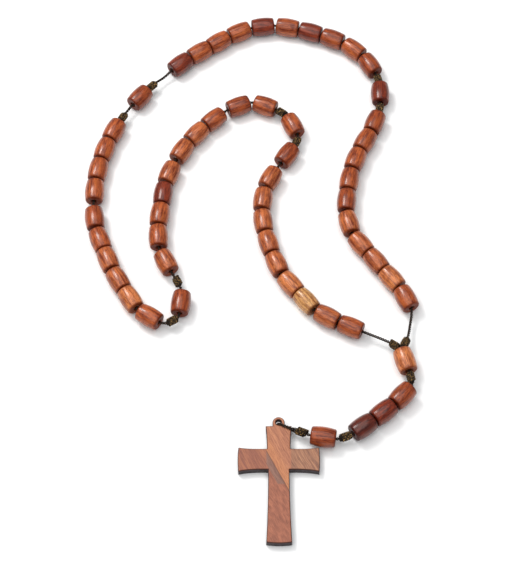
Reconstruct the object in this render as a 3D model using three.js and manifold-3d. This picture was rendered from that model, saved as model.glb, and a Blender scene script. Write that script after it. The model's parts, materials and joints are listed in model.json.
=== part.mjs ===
// A five-decade rosary on a knotted cord, laid out flat: 59 barrel beads, 13 wrapped knots
// and a plain wooden cross. Millimetres, +Z up, the beads and the cross rest on z = 0.
import * as THREE from 'three';
import { mergeVertices } from 'three/addons/utils/BufferGeometryUtils.js';
import Module from 'manifold-3d';

// Barrel beads
const beadLength = 10;
const beadRadius = 4.2;
const beadShoulderRadius = 3.8;
const beadShoulderInset = 0.9;
const beadEndRadius = 3.1;
const beadLandLength = 2.4;
const beadSides = 10;
const boreRadius = 1.2;
const junctionBoreRadius = 1.7;
const beadsPerDecade = 10;

// Cord and the knots tied in it
const cordRadius = 0.6;
const cordSides = 8;
const knotLength = 4.6;
const knotRadius = 1.7;
const knotEndRadius = 1.35;
const knotShoulder = 0.8;

// Clearances
const touchGap = 0.3;
const hingeSpan = 0.9;
const hingeGap = 0.3;
const joinedNeckRadius = 1.9;
const strandLead = 0.8;
const sagShare = 0.08;

// Cross: the eyelet's hole is its origin and the foot points along -Y
const crossThickness = 3.8;
const crossFootDrop = 50.6;
const shoulderDrop = 2.2;
const shoulderWidth = 10.2;
const upperPostWidth = 9.2;
const lowerPostWidth = 8.3;
const footWidth = 9.9;
const footBulge = 0.4;
const crossArmSpan = 32.2;
const armBulge = 0.5;
const armTopDrop = 12;
const armRootHeight = 8.8;
const armEndHeight = 10.2;
const eyeletRadius = 2.4;
const eyeletHoleRadius = 1.15;
const eyeletOverlap = 0.6;
const curveSteps = 5;

// Cord through the eyelet
const strandSpread = 1.5;
const strandRise = 0.9;
const strandTurn = 0.5;
const eyeletReach = 8.3;
const eyeletWay = [-0.866, 0.5];

// The closed loop's path seen from above, anticlockwise from the junction bead's upper mouth.
// Its shape is kept and its size follows what is strung on it.
const loopRoute = [
  [0, 0], [2.2, 3.6], [4.8, 12.2], [5.2, 19.8], [-2.1, 32.5], [-15.3, 48.4], [-20.5, 61.8],
  [-19.4, 78.2], [-16.2, 91.5], [-6.6, 111], [-4, 122.7], [-5.1, 135.6], [-14.9, 150.8],
  [-33.4, 159.8], [-55.6, 163.7], [-74.9, 155.2], [-91.8, 142.5], [-110, 123.8], [-120.7, 105.3],
  [-126.3, 85.4], [-127, 66], [-123.3, 48.7], [-114.3, 30.6], [-101.6, 13.1], [-91.9, 12.8],
  [-87, 22.1], [-90.6, 31.1], [-98.7, 46.3], [-99.4, 62.6], [-95.9, 84.2], [-84.3, 105.1],
  [-62.2, 121.8], [-47.5, 116.2], [-39.6, 107.2], [-43.6, 95.7], [-54.3, 79.1], [-55.6, 59.5],
  [-40, 22.6], [-3.3, 2.6], [0, 0],
];

// The pendant's path from the same mouth down to the knot that holds the cross
const pendantRoute = [
  [0, 0], [1.4, -5], [2.8, -9.9], [3.7, -14], [3.2, -16.3], [-0.5, -20.3], [-8.2, -26.9],
  [-15.9, -32.8], [-20.2, -35.8], [-24.2, -37.4], [-30, -37.1], [-35.7, -35.9], [-41, -34.9],
];

// Bare cord after a bead, where the beads have parted
const slackInDecade = [
  {},
  {},
  { 4: 2.9 },
  { 1: 1.4, 5: 1.8, 8: 1.7 },
  { 1: 3.4, 10: 8.6 },
];

// First bead of each decade's joined pair, where the cord runs nearly straight
const joinedPairStart = [3, 8, 6, 3, 7];

const beadTones = [0x9c4a26, 0xb2602f, 0x8a3a20, 0xa9532b, 0x70281b];
const cordColour = 0x1f1812;
const crossColour = 0xb07a5c;

const wasm = await Module();
wasm.setup();

// ---- Solids ----

function toManifold(geometry) {
  const bare = geometry.clone();
  bare.deleteAttribute('normal');
  bare.deleteAttribute('uv');
  const merged = mergeVertices(bare, 1e-4);
  return new wasm.Manifold(new wasm.Mesh({
    numProp: 3,
    vertProperties: new Float32Array(merged.attributes.position.array),
    triVerts: new Uint32Array(merged.index.array),
  }));
}

function toGeometry(solid) {
  const mesh = solid.getMesh();
  const geometry = new THREE.BufferGeometry();
  geometry.setAttribute('position', new THREE.BufferAttribute(mesh.vertProperties, mesh.numProp));
  geometry.setIndex(new THREE.BufferAttribute(mesh.triVerts, 1));
  geometry.computeVertexNormals();
  return geometry;
}

// One barrel's outer profile, centred at the given height, from its lower to its upper end
function barrelProfile(centre) {
  const half = beadLength / 2;
  const shoulder = half - beadShoulderInset;
  return [
    [beadEndRadius, -half], [beadShoulderRadius, -shoulder], [beadRadius, -beadLandLength / 2],
    [beadRadius, beadLandLength / 2], [beadShoulderRadius, shoulder], [beadEndRadius, half],
  ].map(([radius, height]) => [radius, centre + height]);
}

// Bored beads on one axis; a short neck around the bore joins a pair. The flats stand at the
// true radius, so a bead that lies on a flat has the height of a round one.
function beadGeometry(count, bore) {
  const pitch = beadLength + touchGap;
  const flatFactor = 1 / Math.cos(Math.PI / beadSides);
  const outline = [];
  for (let i = 0; i < count; i += 1) {
    const centre = (i - (count - 1) / 2) * pitch;
    if (i > 0) {
      outline.push([joinedNeckRadius, centre - pitch + beadLength / 2]);
      outline.push([joinedNeckRadius, centre - beadLength / 2]);
    }
    outline.push(...barrelProfile(centre));
  }
  const half = itemLength(count) / 2;
  outline.push([bore, half], [bore, -half], outline[0]);
  const points = outline.map(([radius, height]) => new THREE.Vector2(radius * flatFactor, height));
  const geometry = new THREE.LatheGeometry(points, beadSides);
  geometry.rotateY(Math.PI / beadSides);
  return geometry;
}

function itemLength(count) {
  return count * beadLength + (count - 1) * touchGap;
}

function knotGeometry() {
  const half = knotLength / 2;
  const points = [
    [0, -half], [knotEndRadius, -half], [knotRadius, -half + knotShoulder],
    [knotRadius, half - knotShoulder], [knotEndRadius, half], [0, half],
  ].map(([radius, height]) => new THREE.Vector2(radius, height));
  return new THREE.LatheGeometry(points, cordSides);
}

// Straight spans between corners; a section stands square to the bisector at each corner
class CornerPath extends THREE.Curve {
  constructor(corners) {
    super();
    this.corners = corners;
    this.steps = corners.length - 1;
  }

  getPointAt(u) {
    const at = u * this.steps;
    const i = Math.min(Math.floor(at), this.steps - 1);
    return this.corners[i].clone().lerp(this.corners[i + 1], at - i);
  }

  getTangentAt(u) {
    const i = Math.round(u * this.steps);
    const into = this.corners[i].clone().sub(this.corners[Math.max(i - 1, 0)]).normalize();
    const out = this.corners[Math.min(i + 1, this.steps)].clone().sub(this.corners[i]).normalize();
    return into.add(out).normalize();
  }
}

function cordGeometry(corners) {
  const section = new THREE.Shape();
  for (let i = 0; i < cordSides; i += 1) {
    const angle = (i + 0.5) * 2 * Math.PI / cordSides;
    const x = cordRadius * Math.cos(angle);
    const y = cordRadius * Math.sin(angle);
    if (i === 0) section.moveTo(x, y);
    else section.lineTo(x, y);
  }
  const path = new CornerPath(corners);
  return new THREE.ExtrudeGeometry(section, { steps: path.steps, extrudePath: path });
}

// ---- Stringing ----

function bead(name, slack = 0, count = 1) {
  return { kind: 'bead', name, count, length: itemLength(count), endRadius: beadEndRadius, slack };
}

function knot() {
  return { kind: 'knot', length: knotLength, endRadius: knotEndRadius, slack: 0 };
}

function bareCord(length, kind = 'bare') {
  return { kind, length, endRadius: 0, slack: 0 };
}

function longBareCord(length) {
  return [bareCord(length / 2, 'sagging'), bareCord(length / 2)];
}

function decade(number) {
  const items = [];
  const pairStart = joinedPairStart[number - 1];
  for (let i = 1; i <= beadsPerDecade; i += 1) {
    const slack = slackInDecade[number - 1][i] ?? 0;
    const label = String(i).padStart(2, '0');
    if (i === pairStart) {
      const next = String(i + 1).padStart(2, '0');
      items.push(bead(`decade_${number}_beads_${label}_${next}`, 0, 2));
      i += 1;
    } else {
      items.push(bead(`decade_${number}_bead_${label}`, slack));
    }
  }
  return items;
}

// Lays items along a route in straight spans. Where two spans meet at an angle, both end faces
// stand back from the corner far enough to touch only on the inside of the bend. In a tight bend
// a span takes more of the route, so that its straight length still holds its item.
function lay(items, points) {
  const curve = new THREE.CatmullRomCurve3(
    points.map(([x, y]) => new THREE.Vector3(x, y, 0)), false, 'centripetal',
  );
  curve.arcLengthDivisions = 4000;
  const length = curve.getLength();
  const gapOf = (item) => (item.endRadius > 0 ? touchGap : 0);
  let tangents = new Array(items.length + 1).fill(0);
  let shortfalls = new Array(items.length).fill(0);
  let corners = [];
  for (let pass = 0; pass < 8; pass += 1) {
    const turned = tangents;
    const short = shortfalls;
    const needs = items.map((item, i) => item.length
      + item.endRadius * (turned[i] + turned[i + 1]));
    const spans = items.map((item, i) => needs[i] + item.slack + gapOf(item) + short[i]);
    const total = spans.reduce((sum, span) => sum + span, 0);
    const scale = total / length;
    let run = 0;
    corners = [curve.getPointAt(0)];
    for (const span of spans) {
      run += span;
      corners.push(curve.getPointAt(Math.min(run / total, 1)).multiplyScalar(scale));
    }
    const ways = spans.map((_, i) => corners[i + 1].clone().sub(corners[i]).normalize());
    tangents = corners.map((_, i) => (i === 0 || i === items.length
      ? 0 : Math.tan(ways[i - 1].angleTo(ways[i]) / 2)));
    const chords = spans.map((_, i) => corners[i].distanceTo(corners[i + 1]));
    shortfalls = items.map((item, i) => (item.endRadius > 0
      ? short[i] + Math.max(0, needs[i] + touchGap / 4 - chords[i]) : 0));
  }
  for (const corner of corners) corner.z = beadRadius;
  items.forEach((item, i) => {
    if (item.kind === 'sagging') corners[i + 1].z -= sagShare * 2 * item.length;
  });
  const placed = items.map((item, i) => {
    const way = corners[i + 1].clone().sub(corners[i]).normalize();
    const start = gapOf(item) / 2 + item.endRadius * tangents[i];
    const centre = corners[i].clone().addScaledVector(way, start + item.length / 2);
    return { ...item, way, centre };
  });
  return { corners, placed };
}

const loopItems = [
  bareCord(strandLead), knot(), ...longBareCord(13.3), ...decade(1),
  knot(), bead('our_father_bead_1'), knot(), ...decade(2),
  ...longBareCord(9.5), knot(), bead('our_father_bead_2'), bareCord(5.3), knot(), ...decade(3),
  bareCord(1.9), knot(), bead('our_father_bead_3'), bareCord(2.4), knot(), bareCord(2.6),
  ...decade(4), knot(), bead('our_father_bead_4'), knot(), ...decade(5),
  bareCord(3), knot(), bareCord(strandLead),
];
const pendantItems = [
  bead('junction_bead'), knot(), bareCord(hingeSpan, 'hinge'),
  bead('pendant_bead_1'), bead('pendant_bead_2'), bead('pendant_bead_3'), knot(),
  bareCord(hingeSpan, 'hinge'), bead('pendant_bead_4'), bareCord(hingeSpan, 'hinge'), knot(),
];
const loop = lay(loopItems, loopRoute);
const pendant = lay(pendantItems, pendantRoute);
const hingeAt = pendantItems.flatMap((item, i) => (item.kind === 'hinge' ? [i] : []));

// ---- Assembly ----

const rosary = new THREE.Group();
const laid = new THREE.Group();
rosary.add(laid);

function addMesh(name, geometry, colour, roughness) {
  const material = new THREE.MeshStandardMaterial({ color: colour, roughness, metalness: 0 });
  const mesh = new THREE.Mesh(geometry, material);
  mesh.name = name;
  laid.add(mesh);
  return mesh;
}

// Turns local Y along a horizontal way and keeps local Z up
function standAlong(object, way, centre) {
  const up = new THREE.Vector3(0, 0, 1);
  const side = way.clone().cross(up).normalize();
  object.quaternion.setFromRotationMatrix(new THREE.Matrix4().makeBasis(side, way, up));
  object.position.copy(centre);
  object.updateMatrix();
}

const beadShapes = { 1: beadGeometry(1, boreRadius), 2: beadGeometry(2, boreRadius) };
const junctionShape = beadGeometry(1, junctionBoreRadius);
[...loop.placed, ...pendant.placed].filter((item) => item.kind === 'bead').forEach((item, i) => {
  const shape = item.name === 'junction_bead' ? junctionShape : beadShapes[item.count];
  const mesh = addMesh(item.name, shape, beadTones[i * 3 % beadTones.length], 0.35);
  standAlong(mesh, item.way, item.centre);
});

// A cord piece is its tube with its knots tied in
function tieKnots(tubes, knots) {
  const solids = tubes.map((corners) => toManifold(cordGeometry(corners)));
  for (const item of knots) {
    const tied = new THREE.Object3D();
    standAlong(tied, item.way, item.centre);
    solids.push(toManifold(knotGeometry().applyMatrix4(tied.matrix)));
  }
  return toGeometry(solids.reduce((all, solid) => all.add(solid)));
}

function knotsOf(placed) {
  return placed.filter((item) => item.kind === 'knot');
}

// The two ends of a pendant stretch stop short of the hinge points in the bare cord
function stretchBetween(firstHinge, lastHinge) {
  const ends = [firstHinge, lastHinge].map((hinge) => {
    const middle = pendant.corners[hinge].clone().lerp(pendant.corners[hinge + 1], 0.5);
    const way = pendant.placed[hinge].way;
    return { middle, way };
  });
  return [
    ends[0].middle.addScaledVector(ends[0].way, hingeGap),
    ...pendant.corners.slice(firstHinge + 1, lastHinge + 1),
    ends[1].middle.addScaledVector(ends[1].way, -hingeGap),
  ];
}

// Both strands of the loop run into the junction bead and leave it as one below
const junction = pendant.placed[0];
const merge = junction.centre.clone().addScaledVector(junction.way, 1 - beadLength / 2);
const stemEnd = pendant.corners[hingeAt[0]].clone().lerp(pendant.corners[hingeAt[0] + 1], 0.5)
  .addScaledVector(pendant.placed[hingeAt[0]].way, -hingeGap);
const stem = [merge, ...pendant.corners.slice(1, hingeAt[0] + 1), stemEnd];
const loopPath = [merge, ...loop.corners.slice(1, -1), merge];
const loopHalf = Math.floor(loopPath.length / 2);
addMesh(
  'loop_cord',
  tieKnots(
    [loopPath.slice(0, loopHalf + 1), loopPath.slice(loopHalf - 1), stem],
    [...knotsOf(loop.placed), pendant.placed[1]],
  ),
  cordColour,
  0.8,
);
addMesh(
  'pendant_cord',
  tieKnots([stretchBetween(hingeAt[0], hingeAt[1])], [pendant.placed[hingeAt[1] - 1]]),
  cordColour,
  0.8,
);
addMesh('last_bead_cord', cordGeometry(stretchBetween(hingeAt[1], hingeAt[2])), cordColour, 0.8);

// The eyelet's tab is cut away below so that the cord passes under it
const faceStrandZ = crossThickness + touchGap + cordRadius;
const backStrandZ = touchGap / 2 + cordRadius;
const eyeletBottom = backStrandZ + cordRadius + touchGap;

// The last knot's two strands run over the cross and down through the eyelet, and back below
const lastKnot = pendant.placed.at(-1);
const knotEnd = lastKnot.centre.clone().addScaledVector(lastKnot.way, knotLength / 2);
const eyelet = new THREE.Vector3(
  knotEnd.x + eyeletWay[0] * eyeletReach, knotEnd.y + eyeletWay[1] * eyeletReach, 0,
);
const hingeStart = pendant.corners[hingeAt[2]].clone().lerp(pendant.corners[hingeAt[2] + 1], 0.5)
  .addScaledVector(pendant.placed[hingeAt[2]].way, hingeGap);
const shoulderEdge = shoulderWidth / 2 + cordRadius + touchGap;
const overFace = [
  hingeStart,
  pendant.corners[hingeAt[2] + 1],
  knotEnd,
  eyelet.clone().add(new THREE.Vector3(shoulderEdge, -strandSpread, faceStrandZ)),
  eyelet.clone().add(new THREE.Vector3(strandRise, -0.2, faceStrandZ)),
  eyelet.clone().add(new THREE.Vector3(0, 0, faceStrandZ - strandTurn)),
  eyelet.clone().add(new THREE.Vector3(0, 0, crossThickness / 2)),
];
const belowEyelet = [
  eyelet.clone().add(new THREE.Vector3(0, 0, crossThickness / 2)),
  eyelet.clone().add(new THREE.Vector3(0, 0, backStrandZ + strandTurn)),
  eyelet.clone().add(new THREE.Vector3(strandRise, 0, backStrandZ)),
  eyelet.clone().add(new THREE.Vector3(shoulderEdge, -strandSpread / 2, backStrandZ)),
  lastKnot.centre.clone().addScaledVector(lastKnot.way, knotLength / 4),
];
addMesh('cross_cord', tieKnots([overFace, belowEyelet], [lastKnot]), cordColour, 0.8);

// ---- Cross ----

// A plain cross with gently waisted limbs and slightly bowed ends
function crossOutline() {
  const half = (width) => width / 2;
  const armRootTop = -armTopDrop;
  const armRootBottom = -armTopDrop - armRootHeight;
  const flare = (armEndHeight - armRootHeight) / 2;
  const armTip = half(crossArmSpan);
  const midLower = (armRootBottom - crossFootDrop) / 2;
  const right = [
    [half(shoulderWidth), -shoulderDrop],
    [half(upperPostWidth), (armRootTop - shoulderDrop) / 2, half(upperPostWidth), armRootTop],
    [half(armTip + half(upperPostWidth)) + 2, armRootTop, armTip, armRootTop + flare],
    [armTip + armBulge, half(armRootTop + armRootBottom), armTip, armRootBottom - flare],
    [half(armTip + half(lowerPostWidth)) + 2, armRootBottom, half(lowerPostWidth), armRootBottom],
    [half(lowerPostWidth), midLower, half(footWidth), -crossFootDrop],
  ];
  const shape = new THREE.Shape();
  shape.moveTo(-half(shoulderWidth), -shoulderDrop);
  shape.lineTo(...right[0]);
  right.slice(1).forEach((curve) => shape.quadraticCurveTo(...curve));
  shape.quadraticCurveTo(0, -crossFootDrop - 2 * footBulge, -half(footWidth), -crossFootDrop);
  const back = right.map((curve) => curve.slice(-2));
  for (let i = right.length - 1; i > 0; i -= 1) {
    const [x, y] = right[i];
    shape.quadraticCurveTo(-x, y, -back[i - 1][0], back[i - 1][1]);
  }
  return shape;
}

function plate(shape, bottom, top) {
  const geometry = new THREE.ExtrudeGeometry(shape, {
    depth: top - bottom, bevelEnabled: false, curveSegments: curveSteps,
  });
  return toManifold(geometry.translate(0, 0, bottom));
}

function eyeletTab() {
  const root = -shoulderDrop - eyeletOverlap;
  const shape = new THREE.Shape();
  shape.moveTo(-eyeletRadius, root);
  shape.lineTo(eyeletRadius, root);
  shape.lineTo(eyeletRadius, 0);
  shape.absarc(0, 0, eyeletRadius, 0, Math.PI, false);
  return shape;
}

function circle(radius) {
  return new THREE.Shape().absarc(0, 0, radius, 0, 2 * Math.PI, false);
}

const crossSolid = plate(crossOutline(), 0, crossThickness)
  .add(plate(eyeletTab(), eyeletBottom, crossThickness))
  .subtract(plate(circle(eyeletHoleRadius), -touchGap, crossThickness + touchGap));
const cross = addMesh('cross', toGeometry(crossSolid), crossColour, 0.6);
cross.position.set(eyelet.x, eyelet.y, 0);

// The origin is under the middle of the beads and the cross
rosary.updateMatrixWorld(true);
const box = new THREE.Box3();
for (const mesh of laid.children) {
  if (!mesh.name.endsWith('_cord')) box.expandByObject(mesh, true);
}
const middle = box.getCenter(new THREE.Vector3());
laid.position.set(-middle.x, -middle.y, 0);
rosary.updateMatrixWorld(true);

export default rosary;
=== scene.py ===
"""A five-decade rosary laid out flat: lacquered barrel beads strung on twisted cord, wrapped
knots between the decades, and a plain wooden cross with scorched edges. Metres, Z up."""

import bisect
import json
import math
import random
from collections import namedtuple

import bpy
from bpy.props import FloatProperty, FloatVectorProperty, IntProperty, PointerProperty
from bpy.types import Operator, Panel, PropertyGroup
from mathutils import Matrix, Vector, noise


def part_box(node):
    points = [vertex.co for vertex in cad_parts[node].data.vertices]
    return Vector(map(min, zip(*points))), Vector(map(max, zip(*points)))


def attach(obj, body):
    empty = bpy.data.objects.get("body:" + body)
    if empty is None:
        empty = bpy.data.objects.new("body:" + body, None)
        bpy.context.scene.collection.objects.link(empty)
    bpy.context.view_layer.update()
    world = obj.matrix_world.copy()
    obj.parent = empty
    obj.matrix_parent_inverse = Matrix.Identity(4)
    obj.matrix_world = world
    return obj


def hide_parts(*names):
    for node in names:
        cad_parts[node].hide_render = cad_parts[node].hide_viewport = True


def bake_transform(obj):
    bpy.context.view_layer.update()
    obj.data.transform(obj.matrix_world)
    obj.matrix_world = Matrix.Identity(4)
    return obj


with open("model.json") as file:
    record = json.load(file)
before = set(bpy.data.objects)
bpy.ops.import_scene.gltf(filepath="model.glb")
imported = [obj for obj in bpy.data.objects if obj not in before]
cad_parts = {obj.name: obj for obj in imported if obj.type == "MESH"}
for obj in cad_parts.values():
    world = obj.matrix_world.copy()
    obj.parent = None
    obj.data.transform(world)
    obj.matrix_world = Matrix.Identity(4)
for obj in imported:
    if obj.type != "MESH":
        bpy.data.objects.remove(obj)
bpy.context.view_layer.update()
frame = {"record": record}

bl_info = {
    "name": "Corded Wooden Rosary",
    "version": (1, 0, 0),
    "blender": (4, 5, 0),
    "location": "3D View > Sidebar > Rosary",
    "description": "Strings a five-decade rosary with its knots, cross and studio",
    "category": "Add Mesh",
}

MM = 0.001
UP = Vector((0, 0, 1))

# The closed loop's path seen from above, anticlockwise from the junction bead's upper mouth
LOOP_ROUTE = (
    (0.0000, 0.0000), (0.0022, 0.0036), (0.0048, 0.0122), (0.0052, 0.0198), (-0.0021, 0.0325),
    (-0.0153, 0.0484), (-0.0205, 0.0618), (-0.0194, 0.0782), (-0.0162, 0.0915), (-0.0066, 0.1110),
    (-0.0040, 0.1227), (-0.0051, 0.1356), (-0.0149, 0.1508), (-0.0334, 0.1598), (-0.0556, 0.1637),
    (-0.0749, 0.1552), (-0.0918, 0.1425), (-0.1100, 0.1238), (-0.1207, 0.1053), (-0.1263, 0.0854),
    (-0.1270, 0.0660), (-0.1233, 0.0487), (-0.1143, 0.0306), (-0.1016, 0.0131), (-0.0919, 0.0128),
    (-0.0870, 0.0221), (-0.0906, 0.0311), (-0.0987, 0.0463), (-0.0994, 0.0626), (-0.0959, 0.0842),
    (-0.0843, 0.1051), (-0.0622, 0.1218), (-0.0475, 0.1162), (-0.0396, 0.1072), (-0.0436, 0.0957),
    (-0.0543, 0.0791), (-0.0556, 0.0595), (-0.0400, 0.0226), (-0.0033, 0.0026), (0.0000, 0.0000),
)

# The pendant's path from the same mouth down to the knot that holds the cross
PENDANT_ROUTE = (
    (0.0000, 0.0000), (0.0014, -0.0050), (0.0028, -0.0099), (0.0037, -0.0140), (0.0032, -0.0163),
    (-0.0005, -0.0203), (-0.0082, -0.0269), (-0.0159, -0.0328), (-0.0202, -0.0358),
    (-0.0242, -0.0374), (-0.0300, -0.0371), (-0.0357, -0.0359), (-0.0410, -0.0349),
)

# Bare cord after a bead of a decade, where the beads have parted
SLACK_IN_DECADE = (
    {},
    {},
    {4: 0.0029},
    {1: 0.0014, 5: 0.0018, 8: 0.0017},
    {1: 0.0034, 10: 0.0086},
)

# First bead of each decade's joined pair in the solid model
JOINED_PAIR_START = (3, 8, 6, 3, 7)

# How far the cross has been drawn up against its cord
EYELET_REST = Vector((0.0004, 0.0005, 0.0))

# One letter for each bead's timber: Pale, Tan, Middling, Brown, Dark, Umber, or Sapwood
DECADE_TIMBERS = ("MPTTTBMMMB", "BMBDMDMMMD", "MMMMBMTTPM", "TMMDTTTMBM", "BTTTTTPSTM")
OUR_FATHER_TIMBERS = "DBBM"
PENDANT_TIMBERS = "BDUB"
JUNCTION_TIMBER = "P"
TIMBERS = {
    "P": "pale_timber", "T": "tan_timber", "M": "middling_timber", "B": "brown_timber",
    "D": "dark_timber", "U": "umber_timber", "S": "sapwood_timber",
}

# How the cord lies: the bare cord's droop and how far a cord runs straight through an item,
# as shares of length; the reach of a bore from its middle; the two strands' places in it
DROOP = 0.16
STRAIGHT_SHARE = 0.46
STRAIGHT_END_SHARE = 0.36
BORE_REACH = 0.0016
STRAND_ASIDE = 0.00058
CORD_STEP = 0.00011
BEND_SHARE = 0.7

# The cross's knot stands this much farther from its hinge than the solid one
CROSS_KNOT_SHIFT = 0.0003

# The eyelet's tab, and how much of its underside is cut away for the cord
TAB_RADIUS = 0.0024
TAB_CUT = 0.00165

# Places and colours of the lights, and the floor
KEY_PLACE = (-0.42, 0.40, 0.80)
OVERHEAD_PLACE = (-0.20, -0.10, 1.30)
LAMP_COLOUR = (1.0, 0.985, 0.965)
SURROUND_COLOUR = (0.90, 0.96, 1.0, 1.0)
SENSOR_WIDTH = 36.0
FLOOR_HALF = 3.0
FLOOR_DROP = 0.00002

# Turns metres into millimetres in a material
TO_MM = (1000.0, 1000.0, 1000.0)


def plain(hex_colour):
    """A display colour such as 0xB0723F as linear light."""
    levels = [(hex_colour >> shift & 255) / 255 for shift in (16, 8, 0)]
    return tuple(x / 12.92 if x <= 0.04045 else ((x + 0.055) / 1.055) ** 2.4 for x in levels)


# ---- Sizes and colours a user would change ----


class RosaryStage(PropertyGroup):
    """Camera, lights and floor."""

    camera_elevation: FloatProperty(
        name="Camera Elevation", description="Angle of the camera above the floor",
        default=math.radians(60.5), subtype="ANGLE",
    )
    camera_distance: FloatProperty(
        name="Camera Distance", description="From the camera to the point it looks at",
        default=0.705, unit="LENGTH",
    )
    camera_target: FloatVectorProperty(
        name="Camera Target", description="Point on the floor that the camera looks at",
        default=(0.00556, -0.00807, 0.0), size=3, subtype="TRANSLATION",
    )
    focal_length: FloatProperty(
        name="Focal Length", description="Focal length in millimetres on a 36 mm sensor",
        default=108.7, unit="CAMERA",
    )
    key_power: FloatProperty(
        name="Key Light Power", description="Power of the large soft light above left",
        default=4.4, unit="POWER",
    )
    key_size: FloatProperty(
        name="Key Light Size", description="Side of the large soft light",
        default=0.30, unit="LENGTH",
    )
    overhead_power: FloatProperty(
        name="Overhead Light Power", description="Power of the very broad light overhead",
        default=19.0, unit="POWER",
    )
    overhead_size: FloatProperty(
        name="Overhead Light Size", description="Side of the very broad light overhead",
        default=1.9, unit="LENGTH",
    )
    sky_strength: FloatProperty(
        name="Surround Strength", description="Strength of the even studio surround",
        default=0.34, min=0,
    )
    floor_colour: FloatVectorProperty(
        name="Floor Colour", description="Colour of the plain floor",
        default=(0.93, 0.93, 0.935), size=3, subtype="COLOR",
    )


class RosaryBeads(PropertyGroup):
    """The turned barrel beads."""

    length: FloatProperty(
        name="Length", description="Length of a barrel bead", default=0.010, unit="LENGTH",
    )
    radius: FloatProperty(
        name="Radius", description="Radius at the belly", default=0.0042, unit="LENGTH",
    )
    shoulder_radius: FloatProperty(
        name="Shoulder Radius", description="Radius where the end starts to round over",
        default=0.0038, unit="LENGTH",
    )
    shoulder_inset: FloatProperty(
        name="Shoulder Inset", description="Length of the rounded part at each end",
        default=0.0009, unit="LENGTH",
    )
    end_radius: FloatProperty(
        name="End Radius", description="Radius of the flat end face",
        default=0.0031, unit="LENGTH",
    )
    bore_radius: FloatProperty(
        name="Bore Radius", description="Radius of the drilled hole", default=0.0012,
        unit="LENGTH",
    )
    junction_bore_radius: FloatProperty(
        name="Junction Bore Radius", description="Radius of the hole that takes both strands",
        default=0.0017, unit="LENGTH",
    )
    sides: IntProperty(
        name="Sides", description="Facets around a bead", default=48, min=12,
    )
    lacquer: FloatProperty(
        name="Lacquer", description="How much clear lacquer lies over the wood",
        default=0.66, min=0, max=1, subtype="FACTOR",
    )
    pale_timber: FloatVectorProperty(
        name="Pale Timber", description="Colour of the palest reddish beads",
        default=plain(0xB5673D), size=3, subtype="COLOR",
    )
    tan_timber: FloatVectorProperty(
        name="Tan Timber", description="Colour of the tan beads",
        default=plain(0xA5552F), size=3, subtype="COLOR",
    )
    middling_timber: FloatVectorProperty(
        name="Middling Timber", description="Colour of most beads",
        default=plain(0x9C4A25), size=3, subtype="COLOR",
    )
    brown_timber: FloatVectorProperty(
        name="Brown Timber", description="Colour of the brown beads",
        default=plain(0x8D3E1D), size=3, subtype="COLOR",
    )
    dark_timber: FloatVectorProperty(
        name="Dark Timber", description="Colour of the dark beads",
        default=plain(0x762A14), size=3, subtype="COLOR",
    )
    umber_timber: FloatVectorProperty(
        name="Umber Timber", description="Colour of the darkest bead",
        default=plain(0x5C2012), size=3, subtype="COLOR",
    )
    sapwood_timber: FloatVectorProperty(
        name="Sapwood Timber", description="Colour of the yellowish bead",
        default=plain(0xC08A58), size=3, subtype="COLOR",
    )


class RosaryCord(PropertyGroup):
    """The twisted cord and the knots tied in it."""

    ply_radius: FloatProperty(
        name="Ply Radius", description="Radius of one of the two plies", default=0.00028,
        unit="LENGTH",
    )
    lay_radius: FloatProperty(
        name="Lay Radius", description="From the cord's middle to the middle of a ply",
        default=0.00034, unit="LENGTH",
    )
    twist_pitch: FloatProperty(
        name="Twist Pitch", description="Length of one full twist", default=0.0022,
        unit="LENGTH",
    )
    knot_length: FloatProperty(
        name="Knot Length", description="Length of a wrapped knot", default=0.0046,
        unit="LENGTH",
    )
    knot_radius: FloatProperty(
        name="Knot Radius", description="Radius of a wrapped knot", default=0.0017,
        unit="LENGTH",
    )
    knot_end_radius: FloatProperty(
        name="Knot End Radius", description="Radius of a wrapped knot at its ends",
        default=0.00135, unit="LENGTH",
    )
    touch_gap: FloatProperty(
        name="Touch Gap", description="Play between neighbours on the cord", default=0.0003,
        unit="LENGTH",
    )
    hinge_span: FloatProperty(
        name="Hinge Span", description="Bare cord that bends at each pendant joint",
        default=0.0009, unit="LENGTH",
    )
    dark: FloatVectorProperty(
        name="Cord Dark", description="Colour in the hollows of the cord",
        default=plain(0x110B08), size=3, subtype="COLOR",
    )
    light: FloatVectorProperty(
        name="Cord Light", description="Colour of the fibres that catch the light",
        default=plain(0x35261D), size=3, subtype="COLOR",
    )
    fleck: FloatVectorProperty(
        name="Cord Fleck", description="Colour of the few pale flecks in the cord",
        default=plain(0x74563C), size=3, subtype="COLOR",
    )
    knot_dark: FloatVectorProperty(
        name="Knot Dark", description="Colour in the hollows of a knot",
        default=plain(0x120C07), size=3, subtype="COLOR",
    )
    knot_light: FloatVectorProperty(
        name="Knot Light", description="Colour of a knot's fibres",
        default=plain(0x3F2E1D), size=3, subtype="COLOR",
    )
    knot_fleck: FloatVectorProperty(
        name="Knot Fleck", description="Colour of the pale flecks on a knot",
        default=plain(0xCDA060), size=3, subtype="COLOR",
    )


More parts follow.
